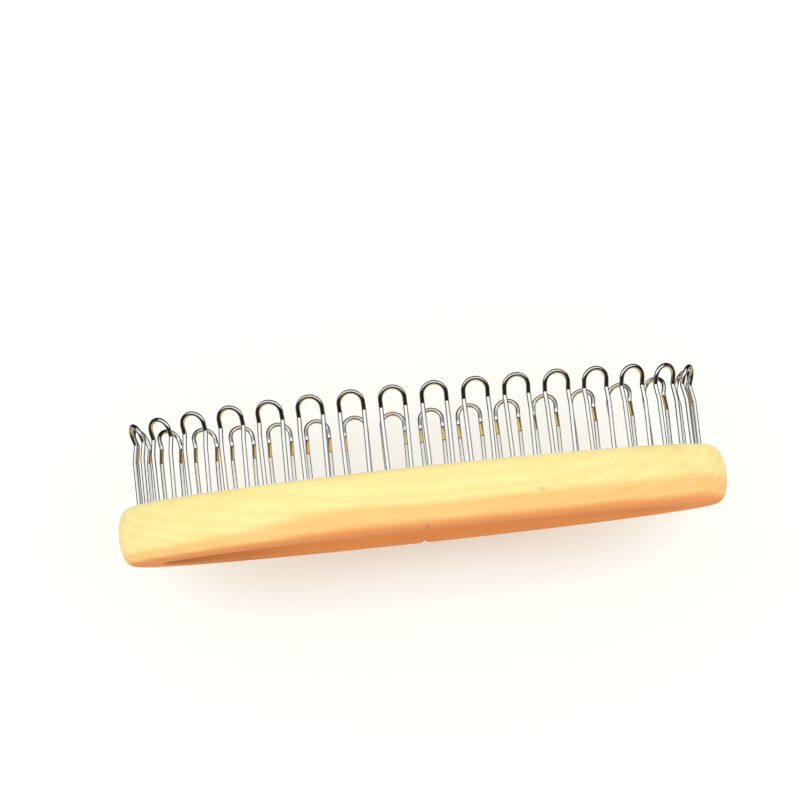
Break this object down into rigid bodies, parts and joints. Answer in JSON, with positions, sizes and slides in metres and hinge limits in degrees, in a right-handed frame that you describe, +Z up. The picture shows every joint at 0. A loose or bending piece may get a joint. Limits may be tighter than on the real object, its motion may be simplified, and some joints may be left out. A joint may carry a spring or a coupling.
{
  "type": "sock knitting loom",
  "caption": "Oval wooden hand loom for knitting socks, with a row of bent wire pegs standing round a central opening.",
  "frame": {"origin": "centre of the ring's flat underside", "axes": "+Z up through the pegs, X along the long side of the oval, Y across it"},
  "size_m": [0.187, 0.0816, 0.043],
  "materials": {
    "beech_wood": "sanded smooth, thin clear coat",
    "steel_wire": "bright drawn wire"
  },
  "bodies": {
    "root": {"oval_ring": "beech_wood", "peg_01": "steel_wire", "peg_02": "steel_wire", "peg_03": "steel_wire", "peg_04": "steel_wire", "peg_05": "steel_wire", "peg_06": "steel_wire", "peg_07": "steel_wire", "peg_08": "steel_wire", "peg_09": "steel_wire", "peg_10": "steel_wire", "peg_11": "steel_wire", "peg_12": "steel_wire", "peg_13": "steel_wire", "peg_14": "steel_wire", "peg_15": "steel_wire", "peg_16": "steel_wire", "peg_17": "steel_wire", "peg_18": "steel_wire", "peg_19": "steel_wire", "peg_20": "steel_wire", "peg_21": "steel_wire", "peg_22": "steel_wire", "peg_23": "steel_wire", "peg_24": "steel_wire", "peg_25": "steel_wire", "peg_26": "steel_wire", "peg_27": "steel_wire", "peg_28": "steel_wire", "peg_29": "steel_wire", "peg_30": "steel_wire", "peg_31": "steel_wire", "peg_32": "steel_wire"}
  },
  "joints": []
}
